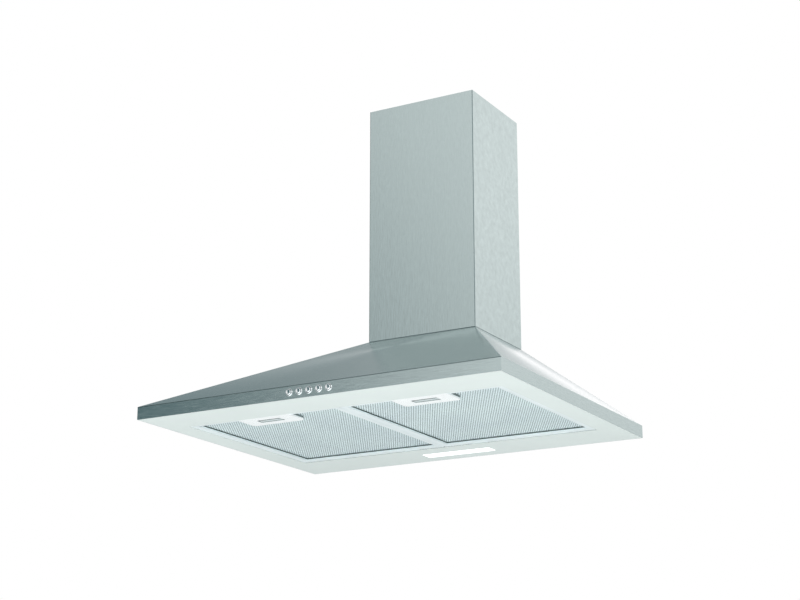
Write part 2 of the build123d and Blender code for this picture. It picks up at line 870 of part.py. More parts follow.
with BuildPart() as led_driver:
    with BuildSketch(Plane((driver_offset, -lamp_wall_distance, panel_sheet))):
        Rectangle(driver_length, driver_width)
    extrude(amount=driver_height)
    chamfer(led_driver.faces().sort_by(Axis.Z)[-1].edges(), driver_chamfer)
save(led_driver, "led_driver")

# ---------------------------------------------------------------- mains connection
with BuildPart() as terminal_box:
    with BuildSketch(Plane.XZ.offset(back_sheet)):
        with Locations((terminal_offset, terminal_middle)):
            Rectangle(terminal_width, terminal_height)
    extrude(amount=terminal_depth)
    open_face = terminal_box.faces().sort_by(Axis.Y)[0]
    offset(amount=-terminal_wall, openings=open_face, kind=Kind.INTERSECTION)
    with BuildSketch(Plane((terminal_offset, gland_axis, terminal_top))):
        Circle(gland_thread_radius + seat_gap)
    extrude(amount=-2 * terminal_wall, mode=Mode.SUBTRACT)
save(terminal_box, "terminal_box")

with BuildPart() as terminal_lid:
    with BuildSketch(Plane.XZ.offset(back_sheet + terminal_depth)):
        with Locations((terminal_offset, terminal_middle)):
            Rectangle(terminal_width, terminal_height)
    extrude(amount=terminal_wall)
    with BuildSketch(Plane.XZ.offset(back_sheet + terminal_depth)):
        with Locations((terminal_offset, terminal_middle)):
            Rectangle(lid_lip_width, lid_lip_height)
            Rectangle(
                lid_lip_width - 2 * terminal_wall,
                lid_lip_height - 2 * terminal_wall,
                mode=Mode.SUBTRACT,
            )
    extrude(amount=-terminal_wall)
save(terminal_lid, "terminal_lid")

with BuildPart() as cable_gland:
    gland_plane = Plane((terminal_offset, gland_axis, terminal_top))
    with BuildSketch(gland_plane.offset(-gland_thread_length)):
        Circle(gland_thread_radius)
    extrude(amount=gland_thread_length)
    with BuildSketch(gland_plane):
        RegularPolygon(gland_radius, 6)
    extrude(amount=gland_nut_height)
    with BuildSketch(gland_plane.offset(-gland_thread_length)):
        Circle(gland_bore)
    extrude(amount=gland_thread_length + gland_nut_height, mode=Mode.SUBTRACT)
save(cable_gland, "cable_gland")

with BuildPart() as capacitor:
    with BuildSketch(Plane.YZ.offset(-capacitor_offset - capacitor_length / 2)):
        with Locations((capacitor_axis, capacitor_height)):
            Circle(capacitor_radius)
    extrude(amount=capacitor_length)
save(capacitor, "capacitor")

with BuildPart() as capacitor_clip:
    with BuildSketch(Plane.YZ.offset(-capacitor_offset - clip_width / 2)):
        with Locations(((clip_front + clip_rear) / 2, capacitor_height)):
            Rectangle(
                clip_rear - clip_front, 2 * (capacitor_radius + seat_gap + clip_sheet)
            )
            Rectangle(
                clip_rear - clip_front - 2 * clip_sheet,
                2 * (capacitor_radius + seat_gap),
                mode=Mode.SUBTRACT,
            )
        with Locations((clip_front, capacitor_height)):
            Rectangle(2 * clip_sheet, clip_mouth, mode=Mode.SUBTRACT)
    extrude(amount=clip_width)
save(capacitor_clip, "capacitor_clip")


# ---------------------------------------------------------------- push buttons
with BuildPart() as switch_housing:
    with BuildSketch(Plane.XZ.offset(-band_inside)):
        with Locations((0, button_height)):
            Rectangle(switch_width, switch_body_height)
    extrude(amount=-switch_depth)
    # a recess that the caps sink into, then a square bore for each stem
    with BuildSketch(Plane.XZ.offset(-band_inside)):
        with Locations((0, button_height)):
            Rectangle(
                (button_count - 1) * button_pitch + 2 * (button_radius + run_gap),
                2 * (button_radius + run_gap),
            )
    extrude(amount=-(button_back - band_inside + button_travel + run_gap), mode=Mode.SUBTRACT)
    with BuildSketch(Plane.XZ.offset(-band_inside)):
        with Locations(*[(x, button_height) for x in button_places]):
            Rectangle(button_stem + 2 * run_gap, button_stem + 2 * run_gap)
    extrude(amount=-(stem_end - band_inside + button_travel + run_gap), mode=Mode.SUBTRACT)
save(switch_housing, "switch_housing")

with BuildPart() as button_bezels:
    with BuildSketch(Plane.XZ.offset(hood_depth)):
        with Locations(*[(x, button_height) for x in button_places]):
            RegularPolygon(bezel_radius, bezel_sides)
            RegularPolygon(
                button_radius + run_gap, bezel_sides, major_radius=False, mode=Mode.SUBTRACT
            )
    extrude(amount=bezel_sheet)
save(button_bezels, "button_bezels")

for index, x in enumerate(button_places):
    with BuildPart() as button:
        with BuildSketch(Plane.XZ.offset(-button_face)):
            with Locations((x, button_height)):
                Circle(button_radius)
        extrude(amount=-(button_back - button_face))
        with BuildSketch(Plane.XZ.offset(-button_back)):
            with Locations((x, button_height)):
                Rectangle(button_stem, button_stem)
        extrude(amount=-button_stem_length)
    save(button, f"button_{index + 1}")
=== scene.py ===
"""The looks of a pyramid chimney range hood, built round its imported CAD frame.

Sizes are metres. The wall is the plane y = 0, the front lies at -Y and the underside is z = 0.
"""

import math

import bmesh
import bpy
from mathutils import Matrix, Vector


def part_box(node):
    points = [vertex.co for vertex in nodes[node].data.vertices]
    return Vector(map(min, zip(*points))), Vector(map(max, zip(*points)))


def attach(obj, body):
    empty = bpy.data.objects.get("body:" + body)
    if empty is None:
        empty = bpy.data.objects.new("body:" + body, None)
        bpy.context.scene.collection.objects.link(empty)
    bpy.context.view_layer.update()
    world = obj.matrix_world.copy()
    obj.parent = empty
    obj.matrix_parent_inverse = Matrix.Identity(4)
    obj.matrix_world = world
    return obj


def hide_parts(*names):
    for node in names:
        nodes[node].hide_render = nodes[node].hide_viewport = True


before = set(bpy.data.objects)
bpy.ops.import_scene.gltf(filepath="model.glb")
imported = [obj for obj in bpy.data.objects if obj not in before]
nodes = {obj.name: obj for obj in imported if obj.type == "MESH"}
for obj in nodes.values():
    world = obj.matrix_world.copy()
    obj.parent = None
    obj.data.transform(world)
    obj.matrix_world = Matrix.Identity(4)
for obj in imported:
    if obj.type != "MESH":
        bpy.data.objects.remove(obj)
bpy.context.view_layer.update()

MM = 0.001
X, Y, Z = 0, 1, 2

# ---------------------------------------------------------------- sizes of the shell
band_top = 19.5 * MM
# height of the dark strip painted as shade along the bend at the top of the front band
bend_painted_shade = 1.1 * MM
seam_gap = 0.1 * MM
# height of the dark strip painted as shadow at the foot of each chimney section
foot_painted_shade = 0.9 * MM

# ---------------------------------------------------------------- sizes of the filters
tab_length = 8.8 * MM
rolled_edge = 0.5 * MM
rolled_level = 0.9 * MM
rolled_zone = 0.6 * MM
# where the two channels meet, near x = 0, they roll by this share
meeting_zone = 5 * MM
meeting_share = 0.6
riser_shadow = 3.8 * MM
riser_top = 5.6 * MM

net_pitch = 3.95 * MM
net_angle = math.radians(29.3)
net_strand_width = 1.7 * MM
net_strand_height = 0.17 * MM
net_layer_gap = 0.1 * MM

skirt_shadow = 2.7 * MM
handle_plate = 1.3 * MM
handle_wall = 1.0 * MM
slot_half_width = 21 * MM
slot_half_depth = 7.5 * MM
slot_from_rear = 22.5 * MM

latch_plate = 1.0 * MM
pad_level = 1.75 * MM
pad_width = 45 * MM
pad_depth = 13.4 * MM
pad_gap = 0.3 * MM

# ---------------------------------------------------------------- sizes of the buttons
button_count = 5
button_groove = 0.35 * MM
# the dish of a cap: share of the radius, and depth below the face
button_dish = ((0, button_groove), (0.3, 0.9 * button_groove), (0.62, 0.1 * MM))
cap_rim = 0.9 * MM
cap_depth = 4.8 * MM
stem_side = 5 * MM
bezel_round = 0.5 * MM
bezel_clearance = 0.3 * MM
lathe_steps = 48
arc_steps = 6

# ---------------------------------------------------------------- edges and tolerances
edge_radius = 0.3 * MM
plastic_edge = 0.5 * MM
edge_segments = 2
long_edge = 8 * MM
sharp_angle = math.radians(30)
fold_angle = math.radians(45)
flat_angle = math.radians(0.5)
weld_distance = 0.001 * MM
tiny = 0.0002 * MM
hair = 0.05 * MM
on_plane = 0.1 * MM
below_all = -1.0
large_face_weight = 80

# which way a face looks, by the share of its normal along an axis
square_on = 0.9
mostly = 0.7
halfway = 0.5
edge_on = 0.3
bent_share = 0.25

# ---------------------------------------------------------------- finish of the steel
steel_color = (0.575, 0.66, 0.655)
# noise scale across and along the scratches, and the same for the broader streaks
scratch_across, scratch_along = 950.0, 60.0
streak_across, streak_along = 260.0, 18.0
# streaks of the chimney's sheets along X, Y and Z
upright_streak = (430.0, 105.0, 110.0)
usual_streak_share = 0.2
usual_contrast = 0.07
contrast_gain = 0.1
brush_spread = 0.8
quarter_turn = 0.25

# ---------------------------------------------------------------- camera and studio
camera_place = (1.2830, -2.4825, -0.5622)
camera_yaw = math.radians(29.69)
camera_pitch = math.radians(16.54)
focal_pixels = 1741
photo_width = 800
sensor_width = 36
camera_reach = 60

floor_level = -1.25
floor_radius = 14
floor_sides = 96

# Sheer grey cards hang far round the hood. Each has a direction from the hood, the cosine from
# it at which the card ends, the cosine at which it is whole, and the share of light let through.
cards_radius = 30
card_color = (0.08, 0.15, 0.165)
cards = (
    ((-0.816, -0.571, 0.087), 0.838, 0.945, 0.02),
    ((-0.75, 0.50, 0.43), 0.879, 0.975, 0.15),
    ((0.462, 0.870, 0.174), 0.93, 1.0, 0.9),
)
# the share that they let through by the Z of a direction: the ceiling is dimmer than the walls
ceiling_shades = ((-1.0, 0.9), (0.18, 0.86), (0.38, 1.08), (0.62, 0.4), (0.85, 0.4), (1.0, 0.7))

lamp_aim = (0, -0.25, 0.2)
# name, place, width, power and colour
lamps = (
    ("right_soft", (3.0, -1.6, 1.4), 1.6, 12, (1, 1, 1)),
    ("rear_soft", (-0.84, 3.38, 1.21), 1.7, 4.2, (1.0, 0.88, 0.9)),
    ("under_soft", (0.15, -0.6, floor_level + 0.1), 3.2, 38, (1, 1, 1)),
)


# ---------------------------------------------------------------- material helpers
class Surface:
    """A node material whose detail comes from small noise networks."""

    def __init__(self, name, color, roughness, metallic=0.0):
        self.material = bpy.data.materials.new(name)
        self.material.use_nodes = True
        self.nodes = self.material.node_tree.nodes
        self.links = self.material.node_tree.links
        self.shader = self.nodes["Principled BSDF"]
        self.shader.inputs["Base Color"].default_value = (*color, 1)
        self.shader.inputs["Roughness"].default_value = roughness
        self.shader.inputs["Metallic"].default_value = metallic
        self.color = color

    def add(self, kind, **settings):
        """A new node with some of its settings."""
        node = self.nodes.new(kind)
        for key, value in settings.items():
            setattr(node, key, value)
        return node

    def noise(self, scale, detail=3.0, roughness=0.55):
        """Noise over the object's own coordinates, with a scale of its own along each axis."""
        place = self.add("ShaderNodeTexCoord")
        mapping = self.add("ShaderNodeMapping")
        mapping.inputs["Scale"].default_value = scale
        texture = self.add("ShaderNodeTexNoise")
        texture.inputs["Scale"].default_value = 1.0
        texture.inputs["Detail"].default_value = detail
        texture.inputs["Roughness"].default_value = roughness
        self.links.new(place.outputs["Object"], mapping.inputs["Vector"])
        self.links.new(mapping.outputs["Vector"], texture.inputs["Vector"])
        return texture.outputs["Fac"]

    def spread(self, value, low, high, start=0.3, end=0.7):
        """Maps a value between start and end to one between low and high."""
        remap = self.add("ShaderNodeMapRange")
        remap.inputs["From Min"].default_value = start
        remap.inputs["From Max"].default_value = end
        remap.inputs["To Min"].default_value = low
        remap.inputs["To Max"].default_value = high
        self.links.new(value, remap.inputs["Value"])
        return remap.outputs["Result"]

    def tint(self, value, low, high):
        """Colours the surface between two shares of its base colour."""
        ramp = self.add("ShaderNodeValToRGB")
        first, last = ramp.color_ramp.elements
        first.position = 0.3
        last.position = 0.7
        first.color = (*[low * c for c in self.color], 1)
        last.color = (*[min(1, high * c) for c in self.color], 1)
        self.links.new(value, ramp.inputs["Fac"])
        self.links.new(ramp.outputs["Color"], self.shader.inputs["Base Color"])

    def shade_along(self, value, shades):
        """A shade for a value from -1 to 1, eased between pairs of place and shade."""
        ramp = self.add("ShaderNodeValToRGB")
        ramp.color_ramp.interpolation = "EASE"
        elements = ramp.color_ramp.elements
        while len(elements) < len(shades):
            elements.new(0.5)
        for element, (place, shade) in zip(elements, shades):
            element.position = (place + 1) / 2
            element.color = (shade, shade, shade, 1)
        self.links.new(self.spread(value, 0.0, 1.0, -1.0, 1.0), ramp.inputs["Fac"])
        return ramp.outputs["Color"]

    def rough(self, value, low, high):
        """Makes the roughness follow a noise value."""
        self.links.new(self.spread(value, low, high), self.shader.inputs["Roughness"])

    def bump(self, value, distance, strength):
        """Raises the surface a little where a noise value is high."""
        bump = self.add("ShaderNodeBump")
        bump.inputs["Strength"].default_value = strength
        bump.inputs["Distance"].default_value = distance
        self.links.new(value, bump.inputs["Height"])
        self.links.new(bump.outputs["Normal"], self.shader.inputs["Normal"])


def brushed_steel(name, grain, color=steel_color, roughness=0.20, metallic=1.0, streak=None,
                  streak_share=usual_streak_share):
    """Stainless sheet with fine scratches along one axis. Its gloss spreads across the
    scratches, and broader streaks lie over them."""
    steel = Surface(name, color, roughness, metallic)
    around = steel.add("ShaderNodeTangent", direction_type="RADIAL", axis="Z")
    steel.links.new(around.outputs["Tangent"], steel.shader.inputs["Tangent"])
    steel.shader.inputs["Anisotropic"].default_value = brush_spread
    turn = 0.0 if grain == Z else quarter_turn
    steel.shader.inputs["Anisotropic Rotation"].default_value = turn
    scratch = [scratch_across] * 3
    scratch[grain] = scratch_along
    if streak is None:
        streak = [streak_across] * 3
        streak[grain] = streak_along
    fine = steel.noise(scratch, detail=4)
    broad = steel.noise(streak, detail=2)
    scaled = steel.add("ShaderNodeMath", operation="MULTIPLY")
    scaled.inputs[1].default_value = 1 - streak_share
    steel.links.new(fine, scaled.inputs[0])
    mix = steel.add("ShaderNodeMath", operation="MULTIPLY_ADD")
    mix.inputs[1].default_value = streak_share
    steel.links.new(broad, mix.inputs[0])
    steel.links.new(scaled.outputs[0], mix.inputs[2])
    contrast = usual_contrast + contrast_gain * (streak_share - usual_streak_share)
    steel.tint(mix.outputs[0], 1 - contrast, 1 + contrast)
    steel.rough(fine, roughness - 0.04, roughness + 0.06)
    steel.bump(fine, distance=0.00001, strength=0.2)
    return steel.material


def grained(name, color, roughness, scale=1800.0, height=0.00002, metallic=0.0, spread=0.05):
    """A moulded or painted surface with a fine even grain."""
    surface = Surface(name, color, roughness, metallic)
    grain = surface.noise((scale,) * 3, detail=3)
    cloud = surface.noise((9.0,) * 3, detail=2)
    surface.tint(cloud, 1 - spread, 1 + spread)
    surface.rough(grain, max(roughness - 0.06, 0.02), roughness + 0.06)
    surface.bump(grain, height, strength=0.5)
    return surface.material


def galvanised_steel():
    """Zinc-coated sheet with its pale crystals."""
    zinc = Surface("galvanised_steel", (0.46, 0.49, 0.50), 0.45, metallic=0.8)
    place = zinc.add("ShaderNodeTexCoord")
    crystals = zinc.add("ShaderNodeTexVoronoi")
    crystals.inputs["Scale"].default_value = 130.0
    zinc.links.new(place.outputs["Object"], crystals.inputs["Vector"])
    shade = zinc.add("ShaderNodeRGBToBW")
    zinc.links.new(crystals.outputs["Color"], shade.inputs["Color"])
    zinc.tint(shade.outputs["Val"], 0.9, 1.09)
    zinc.rough(shade.outputs["Val"], 0.4, 0.5)
    return zinc.material


def glowing_lens():
    """Opal diffuser with the row of lights behind it just showing."""
    lens = Surface("lamp_diffuser", (0.95, 0.96, 0.96), 0.35)
    cloud = lens.noise((35.0, 12.0, 12.0), detail=1)
    glow = lens.spread(cloud, 0.75, 0.95)
    lens.links.new(glow, lens.shader.inputs["Emission Strength"])
    lens.shader.inputs["Emission Color"].default_value = (1, 1, 0.985, 1)
    return lens.material


# ---------------------------------------------------------------- metals
steel_upright = brushed_steel("steel_upright", Z, streak=upright_streak, streak_share=0.31)
steel_beside = brushed_steel("steel_beside", Z, streak=upright_streak, streak_share=0.55)
steel_across = brushed_steel("steel_across", X)
steel_deep = brushed_steel("steel_deep", Y)
# a paler, less metallic copy of the steel for the side slopes: painted light, which makes them
# render brighter than the other sheets
slope_steel_painted_light = brushed_steel("slope_steel_painted_light", Y, (0.66, 0.73, 0.73), 0.32, metallic=0.6)
# dark steel painted as shade along the bend of the front band, on the chimneys' bent corners and
# at their feet
fold_painted_shade = brushed_steel("fold_painted_shade", Y, (0.16, 0.21, 0.215), 0.3)
shaft_steel = brushed_steel("shaft_steel", X, (0.55, 0.56, 0.56), 0.25)
zinc = galvanised_steel()
bright_sheet = grained("filter_sheet", (0.87, 0.94, 0.95), 0.4, 1200.0, metallic=0.3)
net_metal = grained("net_metal", (0.83, 0.95, 0.98), 0.45, 1500.0, metallic=0.3)
core_metal = grained("core_metal", (0.19, 0.24, 0.25), 0.5, 900.0, metallic=0.5)
# dark metal painted as shadow on the upper part of the filter channels' risers
riser_painted_shadow = grained("riser_painted_shadow", (0.07, 0.10, 0.10), 0.5, 1200.0, metallic=0.3)
chrome = grained(
    "chrome", (0.80, 0.83, 0.84), 0.10, 2500.0, height=0.000005, metallic=1.0, spread=0.03
)

# ---------------------------------------------------------------- paints and plastics
enamel = grained("white_enamel", (0.73, 0.79, 0.765), 0.42, 700.0, height=0.00003, spread=0.02)
lacquer = grained("motor_lacquer", (0.20, 0.205, 0.21), 0.4, 900.0)
white_plastic = grained("white_plastic", (0.93, 0.95, 0.95), 0.3, 1600.0, spread=0.02)
latch_plastic = grained("latch_plastic", (0.68, 0.74, 0.74), 0.5)
# dark plastic painted as shadow on the handles' skirts and hollows and on the latches
plastic_painted_shadow = grained("plastic_painted_shadow", (0.16, 0.20, 0.20), 0.5, 1200.0)
# mid grey plastic painted as shade on the walls of the handles' slots
slot_wall_painted_shade = grained("slot_wall_painted_shade", (0.36, 0.41, 0.41), 0.5, 1200.0)
black_plastic = grained("black_plastic", (0.035, 0.036, 0.038), 0.5, 1200.0, height=0.00004)
wheel_plastic = grained("wheel_plastic", (0.10, 0.105, 0.11), 0.5)
pale_plastic = grained("pale_plastic", (0.62, 0.63, 0.62), 0.45)
shell_white = grained("shell_white", (0.76, 0.76, 0.72), 0.4)
board_white = grained("board_white", (0.80, 0.83, 0.81), 0.3, 1500.0)
soft_rubber = grained("soft_rubber", (0.03, 0.03, 0.03), 0.75, 1400.0, height=0.00005)
lens_glow = glowing_lens()


# ---------------------------------------------------------------- mesh helpers
def finish_mesh(shape, name, node, body, materials):
    """Makes an object of a bmesh, which stands for a CAD node and rides on its body."""
    mesh = bpy.data.meshes.new(name)
    shape.to_mesh(mesh)
    shape.free()
    piece = bpy.data.objects.new(name, mesh)
    bpy.context.scene.collection.objects.link(piece)
    for material in materials:
        mesh.materials.append(material)
    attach(piece, body)
    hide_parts(node)
    return piece


def clean_copy(node):
    """The node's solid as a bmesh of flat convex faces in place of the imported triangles."""
    shape = bmesh.new()
    shape.from_mesh(nodes[node].data)
    bmesh.ops.remove_doubles(shape, verts=shape.verts, dist=weld_distance)
    bmesh.ops.dissolve_limit(
        shape, angle_limit=flat_angle, verts=shape.verts, edges=shape.edges
    )
    bmesh.ops.connect_verts_concave(shape, faces=shape.faces)
    return shape


def round_edges(shape, radius, lowest):
    """Rounds the sharp edges that are long enough and don't lie wholly below a level."""
    sharp = [
        edge
        for edge in shape.edges
        if len(edge.link_faces) == 2
        and edge.calc_face_angle() > sharp_angle
        and edge.calc_length() >= long_edge
        and max(end.co.z for end in edge.verts) > lowest
    ]
    if sharp:
        bmesh.ops.bevel(
            shape,
            geom=sharp,
            offset=radius,
            offset_type="OFFSET",
            segments=edge_segments,
            profile=0.5,
            affect="EDGES",
            clamp_overlap=True,
        )


def smooth_faces(shape, angle):
    """Smooth faces that break only at edges sharper than an angle."""
    for face in shape.faces:
        face.smooth = True
    for edge in shape.edges:
        edge.smooth = len(edge.link_faces) == 2 and edge.calc_face_angle() < angle


def dress(node, body, radius, materials, choose=None, prepare=None, lowest=below_all,
          cut=None):
    """A copy of a CAD node with its edges rounded, which stands for it.
    choose gives the index of a face's material from its normal and centre, prepare changes the
    shape before its edges are rounded, edges below lowest stay sharp, and faces divide at cut."""
    shape = clean_copy(node)
    if prepare:
        prepare(shape)
    round_edges(shape, radius, lowest)
    if cut:
        parts = shape.verts[:] + shape.edges[:] + shape.faces[:]
        bmesh.ops.bisect_plane(shape, geom=parts, plane_co=(0, 0, cut), plane_no=(0, 0, 1))
    bmesh.ops.dissolve_degenerate(shape, edges=shape.edges, dist=tiny)
    bmesh.ops.recalc_face_normals(shape, faces=shape.faces)
    if choose:
        for face in shape.faces:
            face.material_index = choose(face.normal, face.calc_center_median())
    smooth_faces(shape, fold_angle)
    piece = finish_mesh(shape, node + "_dressed", node, body, materials)
    even = piece.modifiers.new("even_normals", "WEIGHTED_NORMAL")
    even.keep_sharp = True
    even.weight = large_face_weight


def block(shape, centre, size):
    """Adds a closed block to a bmesh."""
    for vertex in bmesh.ops.create_cube(shape, size=1)["verts"]:
        vertex.co = centre + Vector(a * b for a, b in zip(vertex.co, size))


def lathe(profile, centre):
    """A bmesh turned round the Y axis through centre. The profile gives (radius, y) points."""
    shape = bmesh.new()
    rings = []
    for radius, y in profile:
        if radius == 0:
            rings.append([shape.verts.new((centre.x, y, centre.z))])
            continue
        ring = []
        for i in range(lathe_steps):
            angle = 2 * math.pi * i / lathe_steps
            x = centre.x + radius * math.cos(angle)
            z = centre.z + radius * math.sin(angle)
            ring.append(shape.verts.new((x, y, z)))
        rings.append(ring)
    for low, high in zip(rings, rings[1:]):
        for i in range(lathe_steps):
            j = (i + 1) % lathe_steps
            corners = [
                low[i % len(low)],
                low[j % len(low)],
                high[j % len(high)],
                high[i % len(high)],
            ]
            unique = list(dict.fromkeys(corners))
            if len(unique) > 2:
                shape.faces.new(unique)
    bmesh.ops.remove_doubles(shape, verts=shape.verts, dist=tiny)
    bmesh.ops.recalc_face_normals(shape, faces=shape.faces)
    return shape


def arc(centre_radius, centre_y, radius, start, end):
    """Points of a round in a lathe's profile, between two angles in degrees."""
    points = []
    for i in range(arc_steps + 1):
        angle = math.radians(start + (end - start) * i / arc_steps)
        across = centre_radius + radius * math.cos(angle)
        points.append((across, centre_y + radius * math.sin(angle)))
    return points


# ---------------------------------------------------------------- shell
def fold_side(normal, centre):
    """The canopy's sheets: 0 for the front and inside, 1 for the sides of the band, 2 for the
    dark line painted as shade along the bend at the top of the front band and 3 for the side
    slopes, whose paler steel is painted light."""
    if normal.y < -square_on and band_top - bend_painted_shade < centre.z < band_top:
        return 2
    if abs(normal.x) > abs(normal.y) and abs(normal.x) > edge_on:
        return 3 if normal.z > halfway else 1
    return 0


def corner_side(foot):
    """Gives a test for a chimney section: 1 for its bent corners and a strip at its foot, both
    painted dark as shade, 2 for its sides and 0 for the rest."""

    def choose(normal, centre):
        bent = min(abs(normal.x), abs(normal.y)) > bent_share
        if bent or centre.z < foot:
            return 1
        return 2 if abs(normal.x) > mostly else 0

    return choose


def close_seam(shape):
    """Widens the underside panel to the band, so that no gap shows."""
    low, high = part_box("bottom_panel")
    for vertex in shape.verts:
        if abs(vertex.co.x) > high.x - on_plane:
            vertex.co.x += math.copysign(seam_gap, vertex.co.x)
        if vertex.co.y < low.y + on_plane:
            vertex.co.y -= seam_gap


def shell():
    """Canopy, chimney sections, back panel, bracket and the white underside."""
    canopy = [steel_across, steel_deep, fold_painted_shade, slope_steel_painted_light]
    dress("canopy_shell", "root", edge_radius, canopy, fold_side,
          lowest=hair, cut=band_top - bend_painted_shade)
    chimney = [steel_upright, fold_painted_shade, steel_beside]
    for node, body in (("lower_chimney", "root"), ("upper_chimney", "upper_chimney")):
        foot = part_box(node)[0].z + foot_painted_shade
        dress(node, body, edge_radius, chimney, corner_side(foot), cut=foot)
    dress("back_panel", "root", edge_radius, [zinc])
    dress("chimney_bracket", "upper_chimney", edge_radius, [zinc])
    dress("bottom_panel", "root", edge_radius, [enamel], prepare=close_seam,
          lowest=hair)


# ---------------------------------------------------------------- filter channels and nets
def filter_side(normal, centre):
    """1 for the upper part of the channel's riser, painted dark as its shadow, and 0 elsewhere.
    """
    return 1 if abs(normal.z) < edge_on and riser_shadow < centre.z < riser_top else 0


def rolled(node):
    """Rolls the channel's lower outer edge out and down, so that it closes on the panel."""
    low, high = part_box(node)

    def prepare(shape):
        for vertex in shape.verts:
            x, y, z = vertex.co
            left, right = x < low.x + on_plane, x > high.x - on_plane
            front, rear = y < low.y + on_plane, abs(y - high.y + tab_length) < on_plane
            if z < low.z + rolled_zone and (left or right or front or rear):
                share = 1.0 if abs(x) > meeting_zone else meeting_share
                x += rolled_edge * (right - left) * share
                y += rolled_edge * (rear - front)
                vertex.co = (x, y, rolled_level)

    return prepare


def net_wires(node, body, name):
    """Expanded metal between a node's edges: two families of flat strands that cross."""
    low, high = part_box(node)
    middle = (low + high) / 2
    half = (high - low) / 2
    shape = bmesh.new()
    for sign in (-1, 1):
        lean = math.tan(net_angle) * sign
        span = half.x + half.y * abs(lean)
        level = middle.z + sign * net_layer_gap
        for i in range(int(2 * span / net_pitch) + 1):
            start = -span + i * net_pitch + net_pitch / 2
            ends = clipped(start, lean, half)
            if ends:
                strand(shape, middle, ends, level)
    finish_mesh(shape, name, node, body, [net_metal])


def clipped(start, lean, half):
    """The part of the line x = start + lean * y that lies within the rectangle, or None."""
    low_y, high_y = -half.y, half.y
    for edge in (-half.x, half.x):
        y = (edge - start) / lean
        inward = lean > 0 if edge < 0 else lean < 0
        if inward:
            low_y = max(low_y, y)
        else:
            high_y = min(high_y, y)
    if high_y - low_y < net_pitch:
        return None
    return (start + lean * low_y, low_y), (start + lean * high_y, high_y)


def strand(shape, middle, ends, level):
    """One flat strand with a ridge along its middle, from end to end."""
    (x0, y0), (x1, y1) = ends
    along = Vector((x1 - x0, y1 - y0, 0)).normalized()
    across = Vector((-along.y, along.x, 0)) * (net_strand_width / 2)
    ridge = Vector((0, 0, net_strand_height))
    rings = []
    for x, y in ends:
        base = Vector((middle.x + x, middle.y + y, level))
        corners = (base - across, base - ridge, base + across, base + ridge)
        rings.append([shape.verts.new(corner) for corner in corners])
    first, last = rings
    for i in range(4):
        j = (i + 1) % 4
        shape.faces.new((first[i], first[j], last[j], last[i]))
    shape.faces.new(tuple(reversed(first)))
    shape.faces.new(tuple(last))


# ---------------------------------------------------------------- handles and latches
def handle_side(low, high):
    """Gives a test for the faces of the handle: 1 for the upper part of its skirt at the sides
    and its hollow, painted dark as their shadow, 2 for the walls of its slot, painted mid grey
    as their shade, and 0 for the rest."""
    middle_x = (low.x + high.x) / 2
    middle_y = (low.y + high.y) / 2
    slot_y = high.y - slot_from_rear

    def choose(normal, centre):
        upright = abs(normal.z) < edge_on
        if centre.z < low.z + handle_plate and normal.z < square_on:
            in_slot = (abs(centre.x - middle_x) < slot_half_width + hair
                       and abs(centre.y - slot_y) < slot_half_depth + hair)
            return 2 if in_slot and upright else 0
        if centre.x < low.x + handle_wall or centre.x > high.x - handle_wall:
            return 1 if upright and centre.z > skirt_shadow else 0
        outward = Vector((centre.x - middle_x, centre.y - middle_y, 0))
        return 1 if normal.z > square_on or outward.dot(normal) < 0 else 0

    return choose


def pad_side(normal, centre):
    """0 for the face that a finger meets, 1 for the rest of the latch, painted dark as its
    shadow.
    """
    return 0 if normal.z < -square_on and abs(centre.z - pad_level) < on_plane else 1


def finger_pad(node):
    """Adds the moulded pad that fills the handle's slot below the latch's plate."""
    low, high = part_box(node)
    plate = high.z - latch_plate
    rear = high.y - pad_gap
    centre = Vector(((low.x + high.x) / 2, rear - pad_depth / 2, (plate + pad_level) / 2))
    size = Vector((pad_width, pad_depth, plate - pad_level))

    def prepare(shape):
        block(shape, centre, size)

    return prepare


def filters():
    """Both cassettes with their handles and latches."""
    sheets = [bright_sheet, riser_painted_shadow]
    plastics = [white_plastic, plastic_painted_shadow, slot_wall_painted_shade]
    for hand in ("left", "right"):
        body = f"{hand}_filter"
        channel = f"{hand}_filter_frame"
        dress(channel, body, edge_radius, sheets, filter_side,
              rolled(channel), cut=riser_shadow)
        net_wires(f"{hand}_filter_net", body, f"{hand}_net_wires")
        net_wires(f"{hand}_filter_back_net", body, f"{hand}_back_net_wires")
        handle = f"{hand}_filter_handle"
        dress(handle, body, plastic_edge, plastics,
              handle_side(*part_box(handle)), cut=skirt_shadow)
        latch = f"{hand}_filter_latch"
        dress(latch, f"{hand}_latch", edge_radius,
              [latch_plastic, plastic_painted_shadow], pad_side, finger_pad(latch))


# ---------------------------------------------------------------- buttons
def button(index):
    """A chrome cap with a rounded rim and a shallow dish, on its square stem."""
    node = f"button_{index}"
    low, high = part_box(node)
    centre = (low + high) / 2
    radius = (high.x - low.x) / 2
    face = low.y
    back = face + cap_depth
    profile = [(radius * share, face + depth) for share, depth in button_dish]
    profile += arc(radius - cap_rim, face + cap_rim, cap_rim, -90, 0)
    profile += [(radius, back), (0, back)]
    shape = lathe(profile, centre)
    stem_centre = Vector((centre.x, (back + high.y - hair) / 2, centre.z))
    block(shape, stem_centre, Vector((stem_side, high.y - back + hair, stem_side)))
    smooth_faces(shape, sharp_angle)
    finish_mesh(shape, f"cap_{index}", node, node, [chrome])


def bezel_ring(index, front, outer, inner, sheet):
    """A rounded chrome ring round one button, whose back lies on the band."""
    low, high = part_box(f"button_{index}")
    back = front + sheet
    profile = [(inner, back)]
    profile += arc(inner + bezel_round, front + bezel_round, bezel_round, 180, 270)
    profile += arc(outer - sheet, front + sheet, sheet, -90, 0)
    profile += [(inner, back)]
    shape = lathe(profile, (low + high) / 2)
    smooth_faces(shape, sharp_angle)
    finish_mesh(shape, f"bezel_{index}", "button_bezels", "root", [chrome])


